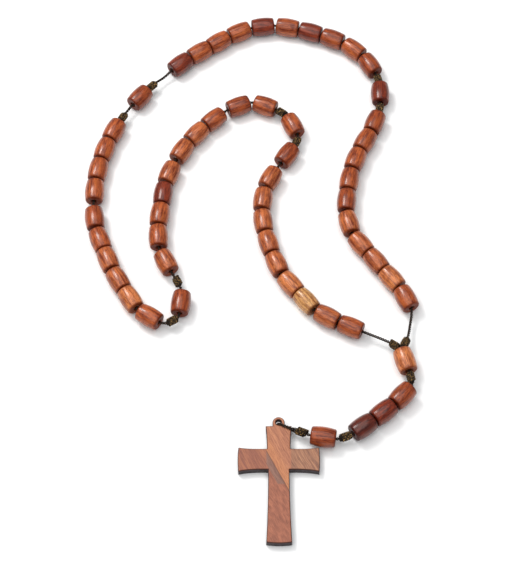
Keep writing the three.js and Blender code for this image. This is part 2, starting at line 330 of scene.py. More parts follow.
class RosaryCross(PropertyGroup):
    """The plain cross, measured from the eyelet's hole."""

    thickness: FloatProperty(
        name="Thickness", description="Thickness of the cross", default=0.0038, unit="LENGTH",
    )
    edge_radius: FloatProperty(
        name="Edge Radius", description="Rounding of the sawn edges", default=0.0005,
        unit="LENGTH",
    )
    foot_drop: FloatProperty(
        name="Foot Drop", description="From the eyelet's hole to the foot", default=0.0499,
        unit="LENGTH",
    )
    foot_width: FloatProperty(
        name="Foot Width", description="Width of the foot", default=0.0099, unit="LENGTH",
    )
    arm_span: FloatProperty(
        name="Arm Span", description="From tip to tip of the arms", default=0.0316,
        unit="LENGTH",
    )
    hole_radius: FloatProperty(
        name="Eyelet Hole Radius", description="Radius of the eyelet's hole",
        default=0.00115, unit="LENGTH",
    )
    tan_dark: FloatVectorProperty(
        name="Tan Dark", description="Dark grain of the upper post",
        default=plain(0x9D6148), size=3, subtype="COLOR",
    )
    tan_light: FloatVectorProperty(
        name="Tan Light", description="Light grain of the upper post",
        default=plain(0xBE7E5A), size=3, subtype="COLOR",
    )
    ruddy_dark: FloatVectorProperty(
        name="Ruddy Dark", description="Dark mottle of the lower post",
        default=plain(0x8C513C), size=3, subtype="COLOR",
    )
    ruddy_light: FloatVectorProperty(
        name="Ruddy Light", description="Light mottle of the lower post",
        default=plain(0xAA674C), size=3, subtype="COLOR",
    )
    scorched_dark: FloatVectorProperty(
        name="Scorched Dark", description="Dark part of the scorched sides",
        default=plain(0x221819), size=3, subtype="COLOR",
    )
    scorched_light: FloatVectorProperty(
        name="Scorched Light", description="Light part of the scorched sides",
        default=plain(0x3A3035), size=3, subtype="COLOR",
    )


# ---- Stringing ----

Item = namedtuple("Item", "kind name length end_radius slack count")
Placed = namedtuple("Placed", "item way centre")


def item_length(beads, cord, count):
    return count * beads.length + (count - 1) * cord.touch_gap


def bead_item(settings, name, slack=0.0, count=1):
    beads, cord = settings
    length = item_length(beads, cord, count)
    return Item("bead", name, length, beads.end_radius, slack, count)


def knot_item(settings, name):
    cord = settings[1]
    return Item("knot", name, cord.knot_length, cord.knot_end_radius, 0.0, 1)


def bare_item(length, kind="bare"):
    return Item(kind, "", length, 0.0, 0.0, 1)


def sagging_pair(length):
    return [bare_item(length / 2, "sagging"), bare_item(length / 2)]


def decade_items(settings, number):
    items = []
    i = 1
    while i <= 10:
        slack = SLACK_IN_DECADE[number - 1].get(i, 0.0)
        if i == JOINED_PAIR_START[number - 1]:
            name = f"decade_{number}_beads_{i:02d}_{i + 1:02d}"
            items.append(bead_item(settings, name, 0.0, 2))
            i += 1
        else:
            items.append(bead_item(settings, f"decade_{number}_bead_{i:02d}", slack))
        i += 1
    return items


def loop_items(settings):
    lead = bare_item(0.0008)
    return [
        lead, knot_item(settings, "junction_right"), *sagging_pair(0.0133),
        *decade_items(settings, 1),
        knot_item(settings, "decade_1_last"), bead_item(settings, "our_father_bead_1"),
        knot_item(settings, "decade_2_first"), *decade_items(settings, 2),
        *sagging_pair(0.0095), knot_item(settings, "decade_2_last"),
        bead_item(settings, "our_father_bead_2"), bare_item(0.0053),
        knot_item(settings, "decade_3_first"), *decade_items(settings, 3),
        bare_item(0.0019), knot_item(settings, "decade_3_last"),
        bead_item(settings, "our_father_bead_3"), bare_item(0.0024),
        knot_item(settings, "decade_4_first"), bare_item(0.0026),
        *decade_items(settings, 4),
        knot_item(settings, "decade_4_last"), bead_item(settings, "our_father_bead_4"),
        knot_item(settings, "decade_5_first"), *decade_items(settings, 5),
        bare_item(0.003), knot_item(settings, "junction_left"), lead,
    ]


def pendant_items(settings):
    hinge = bare_item(settings[1].hinge_span, "hinge")
    return [
        bead_item(settings, "junction_bead"), knot_item(settings, "junction_lower"), hinge,
        bead_item(settings, "pendant_bead_1"), bead_item(settings, "pendant_bead_2"),
        bead_item(settings, "pendant_bead_3"), knot_item(settings, "pendant"), hinge,
        bead_item(settings, "pendant_bead_4"), hinge, knot_item(settings, "cross"),
    ]


class Route:
    """A smooth centripetal curve through points, measured along its length."""

    def __init__(self, points, steps):
        self.points = [Vector((*point, 0.0)[:3]) for point in points]
        self.samples = [self.point(i / steps) for i in range(steps + 1)]
        self.runs = [0.0]
        for a, b in zip(self.samples, self.samples[1:]):
            self.runs.append(self.runs[-1] + (b - a).length)

    def point(self, share):
        last = len(self.points) - 1
        place = last * share
        i = min(int(place), last - 1)
        t = place - i
        p1 = self.points[i]
        p2 = self.points[i + 1]
        p0 = self.points[i - 1] if i > 0 else 2 * p1 - p2
        p3 = self.points[i + 2] if i + 2 <= last else 2 * p2 - p1
        d0 = math.sqrt((p1 - p0).length)
        d1 = math.sqrt((p2 - p1).length)
        d2 = math.sqrt((p3 - p2).length)
        out = ((p1 - p0) / d0 - (p2 - p0) / (d0 + d1) + (p2 - p1) / d1) * d1
        into = ((p2 - p1) / d1 - (p3 - p1) / (d1 + d2) + (p3 - p2) / d2) * d1
        square = (-3 * p1 + 3 * p2 - 2 * out - into) * t * t
        return p1 + out * t + square + (2 * p1 - 2 * p2 + out + into) * t ** 3

    def length(self):
        return self.runs[-1]

    def at(self, run):
        run = min(max(run, 0.0), self.runs[-1])
        i = min(max(bisect.bisect_left(self.runs, run), 1), len(self.runs) - 1)
        span = self.runs[i] - self.runs[i - 1]
        return self.samples[i - 1].lerp(self.samples[i], (run - self.runs[i - 1]) / span)


def string_items(items, points, beads, cord):
    """Lays items along a route in straight spans, as the solid model does: the corners between
    spans, and each item with its way and centre. In a tight bend a span takes more of the
    route, so that its straight length still holds its item."""
    route = Route(points, 4000)
    gaps = [cord.touch_gap if item.end_radius > 0 else 0.0 for item in items]
    turns = [0.0] * (len(items) + 1)
    short = [0.0] * len(items)
    for _ in range(8):
        needs = []
        spans = []
        for i, item in enumerate(items):
            needs.append(item.length + item.end_radius * (turns[i] + turns[i + 1]))
            spans.append(needs[i] + item.slack + gaps[i] + short[i])
        scale = sum(spans) / route.length()
        run = 0.0
        corners = [route.at(0.0)]
        for span in spans:
            run += span
            corners.append(route.at(run / scale) * scale)
        ways = [(b - a).normalized() for a, b in zip(corners, corners[1:])]
        turns = [0.0] * (len(items) + 1)
        for i in range(1, len(items)):
            turns[i] = math.tan(ways[i - 1].angle(ways[i]) / 2)
        for i, item in enumerate(items):
            chord = (corners[i + 1] - corners[i]).length
            if item.end_radius > 0:
                short[i] += max(0.0, needs[i] + cord.touch_gap / 4 - chord)
    for corner in corners:
        corner.z = beads.radius
    for i, item in enumerate(items):
        if item.kind == "sagging":
            corners[i + 1].z -= DROOP * item.length
    placed = []
    for i, item in enumerate(items):
        way = (corners[i + 1] - corners[i]).normalized()
        start = gaps[i] / 2 + item.end_radius * turns[i]
        placed.append(Placed(item, way, corners[i] + way * (start + item.length / 2)))
    return corners, placed


Strung = namedtuple("Strung", "loop_corners loop pendant_corners pendant hinges eyelet")


def strung_rosary(context):
    """The whole rosary's layout, moved to where the solid junction bead stands."""
    beads = context.scene.rosary_beads
    cord = context.scene.rosary_cord
    settings = (beads, cord)
    items = pendant_items(settings)
    loop_corners, loop = string_items(loop_items(settings), LOOP_ROUTE, beads, cord)
    pendant_corners, pendant = string_items(items, PENDANT_ROUTE, beads, cord)
    low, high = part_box("junction_bead")
    shift = (low + high) / 2 - pendant[0].centre
    shift.z = 0.0
    for corner in loop_corners + pendant_corners:
        corner += shift
    loop = [Placed(p.item, p.way, p.centre + shift) for p in loop]
    pendant = [Placed(p.item, p.way, p.centre + shift) for p in pendant]
    hinges = [
        pendant_corners[i].lerp(pendant_corners[i + 1], 0.5)
        for i, item in enumerate(items) if item.kind == "hinge"
    ]
    low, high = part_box("cross")
    eyelet = Vector(((low.x + high.x) / 2, high.y - TAB_RADIUS, 0.0))
    return Strung(loop_corners, loop, pendant_corners, pendant, hinges, eyelet)


def lying_along(way, centre):
    """A frame at centre with local Z along the way and local Y up."""
    side = UP.cross(way).normalized()
    rise = way.cross(side)
    turn = Matrix((side, rise, way)).transposed().to_4x4()
    return Matrix.Translation(centre) @ turn


# ---- Mesh making ----


def make_object(name, vertices, faces, smooth=True):
    mesh = bpy.data.meshes.new(name)
    mesh.from_pydata([tuple(v) for v in vertices], [], faces)
    mesh.validate()
    for polygon in mesh.polygons:
        polygon.use_smooth = smooth
    made = bpy.data.objects.new(name, mesh)
    bpy.context.scene.collection.objects.link(made)
    return made


def carried_frames(points):
    """A normal and binormal at each point that turn no more than the path does."""
    tangents = []
    for i in range(len(points)):
        before = points[max(i - 1, 0)]
        after = points[min(i + 1, len(points) - 1)]
        tangents.append((after - before).normalized())
    normal = tangents[0].cross(UP)
    if normal.length < 0.1:
        normal = tangents[0].cross(Vector((1, 0, 0)))
    normal.normalize()
    frames = []
    for tangent in tangents:
        normal = (normal - tangent * normal.dot(tangent)).normalized()
        frames.append((normal, tangent.cross(normal)))
    return frames


def tube(points, radius, sides, first):
    """Vertices and faces of a round tube along points; vertex numbers start at first."""
    vertices = []
    faces = []
    for point, (normal, binormal) in zip(points, carried_frames(points)):
        for k in range(sides):
            angle = 2 * math.pi * k / sides
            offset = normal * math.cos(angle) + binormal * math.sin(angle)
            vertices.append(point + offset * radius)
    for i in range(len(points) - 1):
        for k in range(sides):
            a = first + i * sides + k
            b = first + i * sides + (k + 1) % sides
            faces.append((a, b, b + sides, a + sides))
    faces.append(tuple(first + k for k in reversed(range(sides))))
    faces.append(tuple(first + (len(points) - 1) * sides + k for k in range(sides)))
    return vertices, faces


def twisted_cord(points, phases, ply_radius, lay_radius, sides=8):
    """Two plies laid round each other along points."""
    vertices = []
    faces = []
    frames = carried_frames(points)
    for start in (0.0, math.pi):
        ply = []
        for point, phase, (normal, binormal) in zip(points, phases, frames):
            turn = normal * math.cos(phase + start) + binormal * math.sin(phase + start)
            ply.append(point + turn * lay_radius)
        more_vertices, more_faces = tube(ply, ply_radius, sides, len(vertices))
        vertices += more_vertices
        faces += more_faces
    return vertices, faces


def through(control_points, spacing):
    """Evenly spaced points on a smooth curve through control points."""
    route = Route([tuple(p) for p in control_points], 60 * len(control_points))
    count = max(2, math.ceil(route.length() / spacing))
    return [route.at(route.length() * i / count) for i in range(count + 1)]


def add_numbers(mesh, name, values):
    layer = mesh.attributes.new(name, "FLOAT", "POINT")
    layer.data.foreach_set("value", values)


def add_vectors(mesh, name, values):
    layer = mesh.attributes.new(name, "FLOAT_VECTOR", "POINT")
    layer.data.foreach_set("vector", [x for value in values for x in value])


def add_colour(mesh, name, colour):
    layer = mesh.attributes.new(name, "FLOAT_COLOR", "POINT")
    layer.data.foreach_set("color", [*colour, 1.0] * len(mesh.vertices))


# ---- Finishes ----


class Channel:
    """One socket's output, with arithmetic that adds Math nodes."""

    def __init__(self, finish, socket):
        self.finish = finish
        self.socket = socket

    def _math(self, operation, *values):
        made = self.finish.node(
            "ShaderNodeMath", {"operation": operation}, dict(enumerate(values))
        )
        return Channel(self.finish, made.outputs[0])

    def __add__(self, other):
        return self._math("ADD", self, other)

    __radd__ = __add__

    def __mul__(self, other):
        return self._math("MULTIPLY", self, other)

    __rmul__ = __mul__

    def __sub__(self, other):
        return self._math("SUBTRACT", self, other)

    def __rsub__(self, other):
        return self._math("SUBTRACT", other, self)

    def __pow__(self, other):
        return self._math("POWER", self, other)

    def __abs__(self):
        return self._math("ABSOLUTE", self)

    def sine(self):
        return self._math("SINE", self)

    def ease(self, low, high):
        """0 below low and 1 above high, smooth between; low may be the larger."""
        made = self.finish.node(
            "ShaderNodeMapRange", {"interpolation_type": "SMOOTHSTEP"},
            {"Value": self, "From Min": low, "From Max": high},
        )
        return Channel(self.finish, made.outputs["Result"])


class Finish:
    """One material and the nodes in it."""

    def __init__(self, name):
        self.material = bpy.data.materials.new(name)
        self.material.use_nodes = True
        self.tree = self.material.node_tree
        self.tree.nodes.clear()

    def node(self, kind, settings=None, sockets=None):
        made = self.tree.nodes.new(kind)
        for name, value in (settings or {}).items():
            setattr(made, name, value)
        for name, value in (sockets or {}).items():
            if isinstance(value, Channel):
                self.tree.links.new(value.socket, made.inputs[name])
            elif isinstance(value, bpy.types.NodeSocket):
                self.tree.links.new(value, made.inputs[name])
            else:
                made.inputs[name].default_value = value
        return made

    def attribute(self, name, output):
        made = self.node("ShaderNodeAttribute", {"attribute_name": name})
        return Channel(self, made.outputs[output])

    def stretched(self, vector, factors):
        made = self.node(
            "ShaderNodeVectorMath", {"operation": "MULTIPLY"}, {0: vector, 1: factors}
        )
        return Channel(self, made.outputs[0])

    def parts(self, vector):
        made = self.node("ShaderNodeSeparateXYZ", {}, {"Vector": vector})
        return [Channel(self, made.outputs[i]) for i in range(3)]

    def vector(self, x, y, z):
        made = self.node("ShaderNodeCombineXYZ", {}, {0: x, 1: y, 2: z})
        return Channel(self, made.outputs[0])

    def noise(self, vector, scale=1.0, detail=2.0, roughness=0.5, distortion=0.0):
        made = self.node(
            "ShaderNodeTexNoise", {"noise_dimensions": "3D"},
            {
                "Vector": vector, "Scale": scale, "Detail": detail,
                "Roughness": roughness, "Distortion": distortion,
            },
        )
        return Channel(self, made.outputs[0])

    def blend(self, factor, a, b, mode="MIX"):
        made = self.node(
            "ShaderNodeMix", {"data_type": "RGBA", "blend_type": mode},
            {0: factor, 6: a, 7: b},
        )
        return Channel(self, made.outputs[2])

    def tinted(self, colour, factors):
        return self.blend(1.0, colour, (*factors, 1.0), "MULTIPLY")

    def bump(self, height, distance, strength=1.0):
        made = self.node(
            "ShaderNodeBump", {},
            {"Height": height, "Distance": distance, "Strength": strength},
        )
        return Channel(self, made.outputs["Normal"])

    def shade(self, sockets):
        shader = self.node("ShaderNodeBsdfPrincipled", {}, sockets)
        out = self.node("ShaderNodeOutputMaterial")
        self.tree.links.new(shader.outputs[0], out.inputs["Surface"])
        return self.material


def lacquered_wood(beads):
    """Turned reddish hardwood under clear lacquer. grain_place is the vertex's place in the
    plank in millimetres, with the grain along Z."""
    f = Finish("Lacquered Bead Wood")
    place = f.attribute("grain_place", "Vector")
    timber = f.attribute("timber", "Color")
    end_grain = f.attribute("end_grain", "Fac")
    x, y, _ = f.parts(place)
    warp = f.noise(f.stretched(place, (0.16, 0.16, 0.05)), detail=2)
    ring = (x * x + y * y) ** 0.5 * 0.55 + warp * 2.6
    growth = (ring * (2 * math.pi)).sine() * 0.5 + 0.5
    streak = f.noise(f.stretched(place, (1.9, 1.9, 0.13)), detail=4, roughness=0.62)
    fine = f.noise(f.stretched(place, (5.5, 5.5, 0.40)), detail=3, roughness=0.6)
    cloud = f.noise(f.stretched(place, (0.32, 0.32, 0.2)), detail=2)
    depth = growth * 0.12 + streak * 0.85 + fine * 0.55 + cloud * 0.5
    light = depth.ease(0.74, 1.26)
    deep = f.tinted(timber, (0.38, 0.19, 0.11))
    pale = f.tinted(timber, (1.50, 1.62, 1.46))
    wood = f.blend(light, deep, pale)
    amber = f.noise(f.stretched(place, (0.6, 0.6, 0.12)), detail=2).ease(0.55, 0.72)
    wood = f.blend(amber * 0.55, wood, f.tinted(timber, (1.35, 1.62, 1.1)))
    pores = f.noise(f.stretched(place, (5.6, 5.6, 0.62)), detail=1).ease(0.60, 0.68)
    wood = f.blend(pores * 0.8, wood, f.tinted(timber, (0.20, 0.12, 0.10)))
    # Darker at the ends: end grain on the flat faces, and painted shade darkening the rounded
    # shoulders into a dark rim.
    wood = f.blend(end_grain * 0.75, wood, f.tinted(timber, (0.36, 0.20, 0.15)))
    height = streak * 0.35 + fine * 0.3 - pores * 0.5
    return f.shade({
        "Base Color": wood,
        "Roughness": pores * 0.14 + fine * 0.14 + end_grain * 0.1 + 0.26,
        "Normal": f.bump(height, 0.00004, 0.8),
        "Specular IOR Level": 0.12,
        "Coat Weight": end_grain * (-0.7 * beads.lacquer) + beads.lacquer,
        "Coat Roughness": 0.20,
        "Coat IOR": 1.5,
    })


def cord_fibre(name, dark, light, fleck, fleck_share, crevice_shade_radius=0.0):
    """Twisted waxed thread: dark fibres and lighter ones mixed at random, and a few flecks.
    Within the crevice shade radius, in millimetres from the piece's own axis, painted shade
    makes the thread darkest, so the sunk parts between a knot's wraps look shaded."""
    f = Finish(name)
    coordinates = f.node("ShaderNodeTexCoord").outputs["Object"]
    place = f.stretched(Channel(f, coordinates), TO_MM)
    fibre = f.noise(f.stretched(place, (7.0, 7.0, 7.0)), detail=3, roughness=0.7)
    patch = f.noise(f.stretched(place, (0.9, 0.9, 0.9)), detail=2)
    colour = f.blend((fibre * 0.7 + patch * 0.5).ease(0.42, 0.85), (*dark, 1), (*light, 1))
    flecks = f.noise(f.stretched(place, (2.4, 2.4, 2.4)), detail=2).ease(0.55, 0.64)
    colour = f.blend(flecks * fleck_share, colour, (*fleck, 1))
    # Painted shade: inside this radius from the piece's axis, the sunk parts between a knot's
    # wraps are darkened nearly to black.
    if crevice_shade_radius > 0:
        x, y, _ = f.parts(place)
        painted_crevice_shade = ((x * x + y * y) ** 0.5).ease(crevice_shade_radius + 0.16, crevice_shade_radius)
        colour = f.blend(painted_crevice_shade * 0.85, colour, (*plain(0x0C0806), 1))
    return f.shade({
        "Base Color": colour,
        "Roughness": fibre * 0.3 + 0.45,
        "Normal": f.bump(fibre, 0.00006, 0.8),
        "Specular IOR Level": 0.2,
    })


def cross_wood(cross):
    """Sanded tan wood with grain on the slant, a darker band across the crossing, and sides
    scorched by the saw. Local millimetres from the eyelet's hole, foot along -Y."""
    f = Finish("Cross Wood")
    coordinates = f.node("ShaderNodeTexCoord").outputs["Object"]
    place = f.stretched(Channel(f, coordinates), TO_MM)
    x, y, z = f.parts(place)
    wander = f.noise(f.stretched(place, (0.16, 0.16, 0.1)), detail=2)
    level = x * 0.885 + y * 0.465
    across = level + wander * 1.4
    along = y * 0.885 - x * 0.465
    grain = f.vector(across, along, z)
    streak = f.noise(f.stretched(grain, (1.5, 0.075, 0.4)), detail=4, roughness=0.65)
    fine = f.noise(f.stretched(grain, (6.0, 0.32, 1.0)), detail=3, roughness=0.6)
    mottle = f.noise(f.stretched(grain, (0.9, 0.3, 0.5)), detail=4, roughness=0.65)
    seam = level + 10.0
    upper = seam.ease(-0.12, 0.12)
    post = abs(x).ease(5.0, 4.7)
    tan = f.blend(streak.ease(0.3, 0.7), (*cross.tan_dark, 1), (*cross.tan_light, 1))
    ruddy = f.blend(mottle.ease(0.3, 0.7), (*cross.ruddy_dark, 1), (*cross.ruddy_light, 1))
    warm = f.blend(streak.ease(0.3, 0.7), (*plain(0xB3704C), 1), (*plain(0xC48357), 1))
    dusky = f.blend(streak.ease(0.3, 0.7), (*plain(0x7C5548), 1), (*plain(0x926857), 1))
    lower = f.blend(seam.ease(-2.9, -2.3) * y.ease(-26.4, -25.9), ruddy, dusky)
    higher = f.blend(seam.ease(5.2, 1.6), tan, warm)
    reddish = f.blend(streak.ease(0.3, 0.7), (*plain(0x874D3D), 1), (*plain(0xAB6B4B), 1))
    greyed = f.blend(streak.ease(0.3, 0.7), (*plain(0x835846), 1), (*plain(0xB07C5C), 1))
    arms = f.blend(x.ease(-4.0, 6.0), reddish, greyed)
    face = f.blend(post, arms, f.blend(upper, lower, higher))
    bright = fine.ease(0.60, 0.72) * (x - y * 0.2).ease(9.0, 12.0) * y.ease(-19.5, -16.0)
    face = f.blend(bright * 0.65, face, (*plain(0xD5A072), 1))
    dark_lines = fine.ease(0.50, 0.38) * 0.62
    face = f.blend(dark_lines, face, f.tinted(face, (0.52, 0.42, 0.40)))
    glue = abs(seam).ease(0.32, 0.06) * post * y.ease(-31.0, -29.5)
    face = f.blend(glue * 0.7, face, (*plain(0x563126), 1))
    char = f.blend(
        mottle.ease(0.35, 0.65), (*cross.scorched_dark, 1), (*cross.scorched_light, 1)
    )
    rim = f.blend(z.ease(2.9, 3.5), char, (*plain(0x462018), 1))
    top = cross.thickness / MM
    edge = cross.edge_radius / MM
    scorched = z.ease(top - edge * 0.03, top - edge * 0.2)
    wood = f.blend(scorched, face, rim)
    height = streak * 0.4 + fine * 0.5 - scorched * mottle
    return f.shade({
        "Base Color": wood,
        "Roughness": fine * 0.2 + scorched * 0.16 + 0.40,
        "Normal": f.bump(height, 0.00005, 0.6),
        "Specular IOR Level": 0.42,
    })


def plain_floor(colour):
    f = Finish("Plain Floor")
    return f.shade({"Base Color": (*colour, 1), "Roughness": 0.75, "Specular IOR Level": 0.2})


# ---- Pieces ----


def barrel_outline(beads, bore, slim):
    """Radius and height of a bead's surface from the middle of one end face, over the side,
    to the other end and back through the bore, with each point's share of end grain and
    painted shade: the flat end face and the bore count as end grain, and the share that rises
    over the rounded shoulder is painted shade, a dark rim at each end."""
    half = beads.length / 2
    shoulder = half - beads.shoulder_inset
    belly = beads.radius - slim
    neck = beads.shoulder_radius - slim
    upper = []
    for i in range(9):
        height = shoulder * i / 8
        radius = neck + (belly - neck) * (1 - (height / shoulder) ** 2)
        upper.append((radius, height, 0.16 if i == 8 else 0.0))
    # Over the rounded shoulder the share rises from 0.16 to 1: painted shade that darkens the
    # bead's rim at each end.
    for i in range(1, 7):
        angle = math.pi / 2 * i / 6
        radius = beads.end_radius - 0.0002 + (neck - beads.end_radius + 0.0002) * math.cos(angle)
        height = shoulder + beads.shoulder_inset * math.sin(angle)
        upper.append((radius, height, min(1.0, 0.2 + i / 5)))
    upper.append((beads.end_radius - 0.0006, half - 0.00001, 1.0))
    upper.append((bore + 0.00045, half - 0.00003, 1.0))
    upper.append((bore + 0.00012, half - 0.00012, 1.0))
    upper.append((bore, half - 0.0004, 1.0))
    upper.append((bore, half * 0.5, 1.0))
    lower = [(radius, -height, end) for radius, height, end in upper[1:]]
    return list(reversed(upper)) + lower


def turned_bead(name, beads, bore, timber, way, centre, seed):
    """One bored barrel bead lying along a way, slightly uneven as a turned bead is."""
    rng = random.Random(seed)
    outline = barrel_outline(beads, bore, rng.uniform(0.0, 0.00008))
    sides = beads.sides
    vertices = []
    end_grain_and_rim_shade_shares = []
    faces = []
    wobble = rng.uniform(0, 10)
    for radius, height, end in outline:
        for k in range(sides):
            angle = 2 * math.pi * k / sides
            spot = Vector((math.cos(angle), math.sin(angle), height * 300 + wobble))
            depth = 0.00005 * (noise.noise(spot * 0.9) - 1) if radius > bore else 0.0
            reach = radius + depth
            vertices.append((reach * math.cos(angle), reach * math.sin(angle), height))
            end_grain_and_rim_shade_shares.append(end)
    for i in range(len(outline)):
        row = i * sides
        after = (i + 1) % len(outline) * sides
        for k in range(sides):
            turn = (k + 1) % sides
            faces.append((row + k, after + k, after + turn, row + turn))
    bead = make_object(name, vertices, faces)
    mesh = bead.data
    pith = rng.uniform(9, 30)
    heading = rng.uniform(0, 2 * math.pi)
    tilt = rng.uniform(-0.06, 0.06)
    plank = Vector((pith, rng.uniform(-3, 3), rng.uniform(0, 400)))
    turn = Matrix.Rotation(tilt, 3, "X") @ Matrix.Rotation(heading, 3, "Z")
    add_vectors(mesh, "grain_place", [turn @ (v.co / MM) + plank for v in mesh.vertices])
    # One share for darker end grain on the flat ends and painted shade on the rounded shoulders.
    add_numbers(mesh, "end_grain", end_grain_and_rim_shade_shares)
    add_colour(mesh, "timber", getattr(beads, TIMBERS[timber]))
    bead.matrix_world = lying_along(way, centre)
    return bead


def bead_finish(context):
    found = bpy.data.materials.get("Lacquered Bead Wood")
    return found or lacquered_wood(context.scene.rosary_beads)


def string_beads(context, wanted):
    """Turns every bead whose strung name passes wanted, and hangs it on its body."""
    beads = context.scene.rosary_beads
    strung = strung_rosary(context)
    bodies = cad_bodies()
    for placed in strung.loop + strung.pendant:
        item = placed.item
        if item.kind != "bead" or not wanted(item.name):
            continue
        pitch = beads.length + context.scene.rosary_cord.touch_gap
        for k in range(item.count):
            offset = (k - (item.count - 1) / 2) * pitch
            name, timber = name_and_timber(item.name, k)
            bore = beads.bore_radius
            if item.name == "junction_bead":
                bore = beads.junction_bore_radius
            centre = placed.centre + placed.way * offset
            bead = turned_bead(name, beads, bore, timber, placed.way, centre, name)
            bead.data.materials.append(bead_finish(context))
            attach(bead, bodies[item.name])
            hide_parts(item.name)


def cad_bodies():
    """The body that each solid node belongs to."""
    groups = frame["record"]["behaviour"]["bodies"]
    return {node: body for body, nodes in groups.items() for node in nodes}


def name_and_timber(strung_name, k):
    """A visible bead's own name and its timber letter."""
    words = strung_name.split("_")
    if words[0] == "decade":
        number = int(words[1])
        place = int(words[3]) + k
        return f"wood_decade_{number}_bead_{place:02d}", DECADE_TIMBERS[number - 1][place - 1]
    if words[0] == "our":
        return f"wood_{strung_name}", OUR_FATHER_TIMBERS[int(words[3]) - 1]
    if words[0] == "pendant":
        return f"wood_{strung_name}", PENDANT_TIMBERS[int(words[2]) - 1]
    return f"wood_{strung_name}", JUNCTION_TIMBER


def resting_points(placed_items, corners):
    """Control points for a cord: along the bore of each bead or knot, and at bare corners."""
    points = []
    for i, placed in enumerate(placed_items):
        if placed.item.kind in ("bead", "knot"):
            reach = placed.item.length * STRAIGHT_SHARE
            points.append(placed.centre - placed.way * reach)
            points.append(placed.centre + placed.way * reach)
        elif placed.item.kind == "sagging":
            middle = corners[i].lerp(corners[i + 2], 0.5)
            middle.z = corners[i + 1].z
            points.append(middle)
    return points


def hidden_in_beads(points, placed_items):
    """True for each point that lies inside a bead or a knot."""
    holders = []
    for placed in placed_items:
        if placed.item.kind in ("bead", "knot"):
            inset = 0.0004 if placed.item.kind == "bead" else 0.0009
            holders.append((placed.centre, placed.way, placed.item.length / 2 - inset))
    hidden = []
    for point in points:
        inside = False
        for centre, way, half in holders:
            gap = point - centre
            along = gap.dot(way)
            if abs(along) < half and (gap - way * along).length < BORE_REACH:
                inside = True
                break
        hidden.append(inside)
    return hidden


def lay_cord(name, control_points, placed_items, cord):
    """A twisted cord through control points. It is finely made where it shows, and coarse and
    slack inside beads and knots. Returns the piece, its centreline and its length."""
    fine = through(control_points, CORD_STEP)
    hidden = hidden_in_beads(fine, placed_items)
    points = []
    phases = []
    phase = 0.0
    skipped = 0
    for i, point in enumerate(fine):
        if i > 0:
            step = (point - fine[i - 1]).length
            phase += 2 * math.pi * step / cord.twist_pitch * (0.15 if hidden[i] else 1.0)
        last = i in (0, len(fine) - 1)
        if hidden[i] and skipped < 8 and not last and hidden[min(i + 1, len(fine) - 1)]:
            skipped += 1
            continue
        skipped = 0
        points.append(point)
        phases.append(phase)
    vertices, faces = twisted_cord(points, phases, cord.ply_radius, cord.lay_radius)
    piece = make_object(name, vertices, faces)
    length = sum((b - a).length for a, b in zip(points, points[1:]))
    return piece, points, length


def cord_finish(cord):
    found = bpy.data.materials.get("Twisted Cord")
    return found or cord_fibre("Twisted Cord", cord.dark, cord.light, cord.fleck, 0.3)


def knot_finish(cord):
    found = bpy.data.materials.get("Knotted Cord")
    # Inside 1.46 mm of a knot's axis, its sunk wraps get painted shade.
    return found or cord_fibre(
        "Knotted Cord", cord.knot_dark, cord.knot_light, cord.knot_fleck, 0.85, 1.46
    )


def wrapped_knot(name, placed, cord, seed):
    """A barrel knot: slanting turns of the cord round itself."""
    rng = random.Random(seed)
    half = cord.knot_length * 0.54
    ply = cord.ply_radius * 0.93
    lay = cord.lay_radius * 0.76
    thick = ply + lay
    turns = rng.choice((4.7, 4.95, 5.2))
    slant = rng.choice((-1, 1)) * rng.uniform(0.26, 0.4)
    lean = rng.uniform(0, 2 * math.pi)
    count = 300
    path = []
    for i in range(count + 1):
        share = i / count
        angle = 2 * math.pi * turns * share + lean
        ease = min(1.0, share * turns / 0.4, (1 - share) * turns / 0.4)
        radius = (cord.knot_radius - thick * 0.85) * (0.68 + 0.32 * math.sin(math.pi / 2 * ease))
        bulge = 1 + 0.07 * math.sin(math.pi * share) + 0.05 * math.sin(7 * share + lean)
        height = (half - thick * 0.8) * (2 * share - 1)
        height += slant * radius * math.cos(angle - lean)
        height = max(-half + thick * 0.55, min(half - thick * 0.55, height))
        reach = min(radius * bulge, cord.knot_radius - thick * 0.78)
        path.append(Vector((reach * math.cos(angle), reach * math.sin(angle), height)))
    phases = [0.0]
    for a, b in zip(path, path[1:]):
        phases.append(phases[-1] + 2 * math.pi * (b - a).length / (cord.twist_pitch * 0.6))
    vertices, faces = twisted_cord(path, phases, ply, lay, 7)
    core = [Vector((0, 0, (2 * i / 6 - 1) * (half - 0.0003))) for i in range(7)]
    core_vertices, core_faces = tube(core, 0.00094, 12, len(vertices))
    knot = make_object(name, vertices + core_vertices, faces + core_faces)
    knot.matrix_world = lying_along(placed.way, placed.centre)
    return knot


CORDS = {
    "twine_loop": ("loop_cord",),
    "twine_pendant": ("pendant_cord",),
    "twine_cross": ("last_bead_cord", "cross_cord"),
}


def cross_knot(strung):
    """The knot that holds the cross, turned on its hinge to face the eyelet."""
    hinge = strung.hinges[2]
    way = strung.eyelet + UP * hinge.z - hinge
    way.normalize()
    placed = strung.pendant[-1]
    reach = (placed.centre - hinge).length + CROSS_KNOT_SHIFT
    return Placed(placed.item, way, hinge + way * reach)


